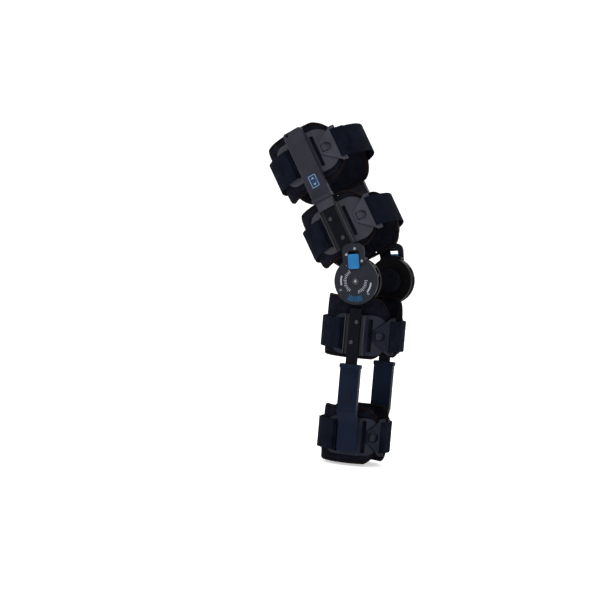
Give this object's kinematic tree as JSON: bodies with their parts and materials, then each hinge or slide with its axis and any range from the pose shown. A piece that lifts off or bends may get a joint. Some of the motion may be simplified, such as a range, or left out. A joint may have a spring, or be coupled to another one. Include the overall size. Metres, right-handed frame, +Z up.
{
  "type": "hinged knee brace",
  "caption": "Hinged knee brace with padded cuffs on telescoping uprights, dial hinges with motion stops and drop locks, webbing straps and hook buckles.",
  "frame": {"origin": "midway between the two hinges, on the knee's axis", "axes": "+X towards the front of the leg, +Y towards its inner (medial) side, +Z up along the calf; right leg, bent 32 degrees"},
  "size_m": [0.2564, 0.18, 0.5617],
  "materials": {
    "arm_metal": "satin",
    "dial_plastic": "satin",
    "shell_plastic": "matte",
    "calf_plastic": "satin",
    "buckle_plastic": "matte",
    "blue_plastic": "gloss",
    "dark_button": "matte",
    "stop_plastic": "satin",
    "rivet_steel": "polished",
    "bush_plastic": "matte",
    "spring_steel": "satin",
    "pad_fabric": "matte",
    "strap_webbing": "matte"
  },
  "bodies": {
    "thigh": {"lateral_thigh_arm": "arm_metal", "medial_thigh_arm": "arm_metal", "lateral_neck_cover": "dial_plastic", "medial_neck_cover": "dial_plastic", "neck_screws": "rivet_steel", "lateral_lower_thigh_shell": "shell_plastic", "medial_lower_thigh_shell": "shell_plastic", "lateral_lower_thigh_pad": "pad_fabric", "medial_lower_thigh_pad": "pad_fabric", "lower_thigh_strap": "strap_webbing", "lower_thigh_rivets": "rivet_steel"},
    "calf": {"lateral_calf_arm": "arm_metal", "medial_calf_arm": "arm_metal", "lateral_dial_cover": "dial_plastic", "medial_dial_cover": "dial_plastic", "lateral_back_cover": "dial_plastic", "medial_back_cover": "dial_plastic", "lateral_pivot_rivet": "arm_metal", "medial_pivot_rivet": "arm_metal", "lateral_condyle_pad": "pad_fabric", "medial_condyle_pad": "pad_fabric", "pivot_bushes": "bush_plastic", "lateral_upper_calf_shell": "calf_plastic", "medial_upper_calf_shell": "calf_plastic", "lateral_upper_calf_pad": "pad_fabric", "medial_upper_calf_pad": "pad_fabric", "upper_calf_strap": "strap_webbing", "upper_calf_rivets": "rivet_steel"},
    "thigh_top": {"lateral_thigh_sleeve": "shell_plastic", "medial_thigh_sleeve": "shell_plastic", "thigh_button_springs": "spring_steel", "lateral_upper_thigh_shell": "shell_plastic", "medial_upper_thigh_shell": "shell_plastic", "lateral_upper_thigh_pad": "pad_fabric", "medial_upper_thigh_pad": "pad_fabric", "upper_thigh_strap": "strap_webbing", "upper_thigh_rivets": "rivet_steel"},
    "calf_bottom": {"lateral_calf_sleeve": "calf_plastic", "medial_calf_sleeve": "calf_plastic", "calf_button_springs": "spring_steel", "lateral_lower_calf_shell": "calf_plastic", "medial_lower_calf_shell": "calf_plastic", "lateral_lower_calf_pad": "pad_fabric", "medial_lower_calf_pad": "pad_fabric", "lower_calf_strap": "strap_webbing", "lower_calf_rivets": "rivet_steel"},
    "lateral_thigh_button": {"lateral_thigh_button": "blue_plastic"},
    "medial_thigh_button": {"medial_thigh_button": "blue_plastic"},
    "lateral_calf_button": {"lateral_calf_button": "dark_button"},
    "medial_calf_button": {"medial_calf_button": "dark_button"},
    "lateral_flexion_stop": {"lateral_flexion_stop": "stop_plastic"},
    "medial_flexion_stop": {"medial_flexion_stop": "stop_plastic"},
    "lateral_extension_stop": {"lateral_extension_stop": "stop_plastic"},
    "medial_extension_stop": {"medial_extension_stop": "stop_plastic"},
    "lateral_drop_lock": {"lateral_drop_lock": "blue_plastic"},
    "medial_drop_lock": {"medial_drop_lock": "blue_plastic"},
    "upper_thigh_buckle": {"upper_thigh_buckle": "buckle_plastic"},
    "lower_thigh_buckle": {"lower_thigh_buckle": "buckle_plastic"},
    "upper_calf_buckle": {"upper_calf_buckle": "buckle_plastic"},
    "lower_calf_buckle": {"lower_calf_buckle": "buckle_plastic"}
  },
  "joints": [
    {"name": "knee_flexion", "type": "hinge", "parent": "thigh", "child": "calf", "pos_m": [0, 0, 0], "axis": [0, 1, 0], "range_deg": [-42, 88], "deforming": ["lateral_lower_thigh_pad", "medial_lower_thigh_pad", "lateral_upper_calf_pad", "medial_upper_calf_pad", "lower_thigh_strap", "upper_calf_strap"]},
    {"name": "thigh_length", "type": "slide", "parent": "thigh", "child": "thigh_top", "axis": [-0.5299, 0, 0.848], "range_m": [0, 0.06]},
    {"name": "calf_length", "type": "slide", "parent": "calf", "child": "calf_bottom", "axis": [0, 0, -1], "range_m": [0, 0.05]},
    {"name": "lateral_thigh_button_press", "type": "slide", "parent": "thigh_top", "child": "lateral_thigh_button", "axis": [0, 1, 0], "range_m": [0, 0.0015], "stiffness_N_per_m": 500, "springref_m": -0.001},
    {"name": "lateral_calf_button_press", "type": "slide", "parent": "calf_bottom", "child": "lateral_calf_button", "axis": [0, 1, 0], "range_m": [0, 0.0015], "stiffness_N_per_m": 500, "springref_m": -0.001},
    {"name": "lateral_drop_lock_slide", "type": "slide", "parent": "thigh", "child": "lateral_drop_lock", "axis": [-0.1564, 0, 0.9877], "range_m": [0, 0.004]},
    {"name": "lateral_flexion_stop_turn", "type": "hinge", "parent": "calf", "child": "lateral_flexion_stop", "pos_m": [0, -0.076, 0], "axis": [0, 1, 0], "range_deg": [0, 110]},
    {"name": "lateral_extension_stop_turn", "type": "hinge", "parent": "calf", "child": "lateral_extension_stop", "pos_m": [0, -0.0783, 0], "axis": [0, 1, 0], "range_deg": [-20, 80]},
    {"name": "medial_thigh_button_press", "type": "slide", "parent": "thigh_top", "child": "medial_thigh_button", "axis": [0, -1, 0], "range_m": [0, 0.0015], "stiffness_N_per_m": 500, "springref_m": -0.001},
    {"name": "medial_calf_button_press", "type": "slide", "parent": "calf_bottom", "child": "medial_calf_button", "axis": [0, -1, 0], "range_m": [0, 0.0015], "stiffness_N_per_m": 500, "springref_m": -0.001},
    {"name": "medial_drop_lock_slide", "type": "slide", "parent": "thigh", "child": "medial_drop_lock", "axis": [-0.1564, 0, 0.9877], "range_m": [0, 0.004]},
    {"name": "medial_flexion_stop_turn", "type": "hinge", "parent": "calf", "child": "medial_flexion_stop", "pos_m": [0, 0.076, 0], "axis": [0, 1, 0], "range_deg": [0, 110]},
    {"name": "medial_extension_stop_turn", "type": "hinge", "parent": "calf", "child": "medial_extension_stop", "pos_m": [0, 0.0783, 0], "axis": [0, 1, 0], "range_deg": [-20, 80]},
    {"name": "upper_thigh_buckle_lift", "type": "hinge", "parent": "thigh_top", "child": "upper_thigh_buckle", "pos_m": [-0.06192, -0.05432, 0.22544], "axis": [-0.5299, 0, 0.848], "range_deg": [0, 100]},
    {"name": "lower_thigh_buckle_lift", "type": "hinge", "parent": "thigh", "child": "lower_thigh_buckle", "pos_m": [0.0075, -0.04889, 0.11789], "axis": [-0.5299, 0, 0.848], "range_deg": [0, 100]},
    {"name": "upper_calf_buckle_lift", "type": "hinge", "parent": "calf", "child": "upper_calf_buckle", "pos_m": [0.05108, -0.02644, -0.0885], "axis": [0, 0, 1], "range_deg": [0, 100]},
    {"name": "lower_calf_buckle_lift", "type": "hinge", "parent": "calf_bottom", "child": "lower_calf_buckle", "pos_m": [0.04534, -0.01733, -0.257], "axis": [0, 0, 1], "range_deg": [0, 100]}
  ]
}
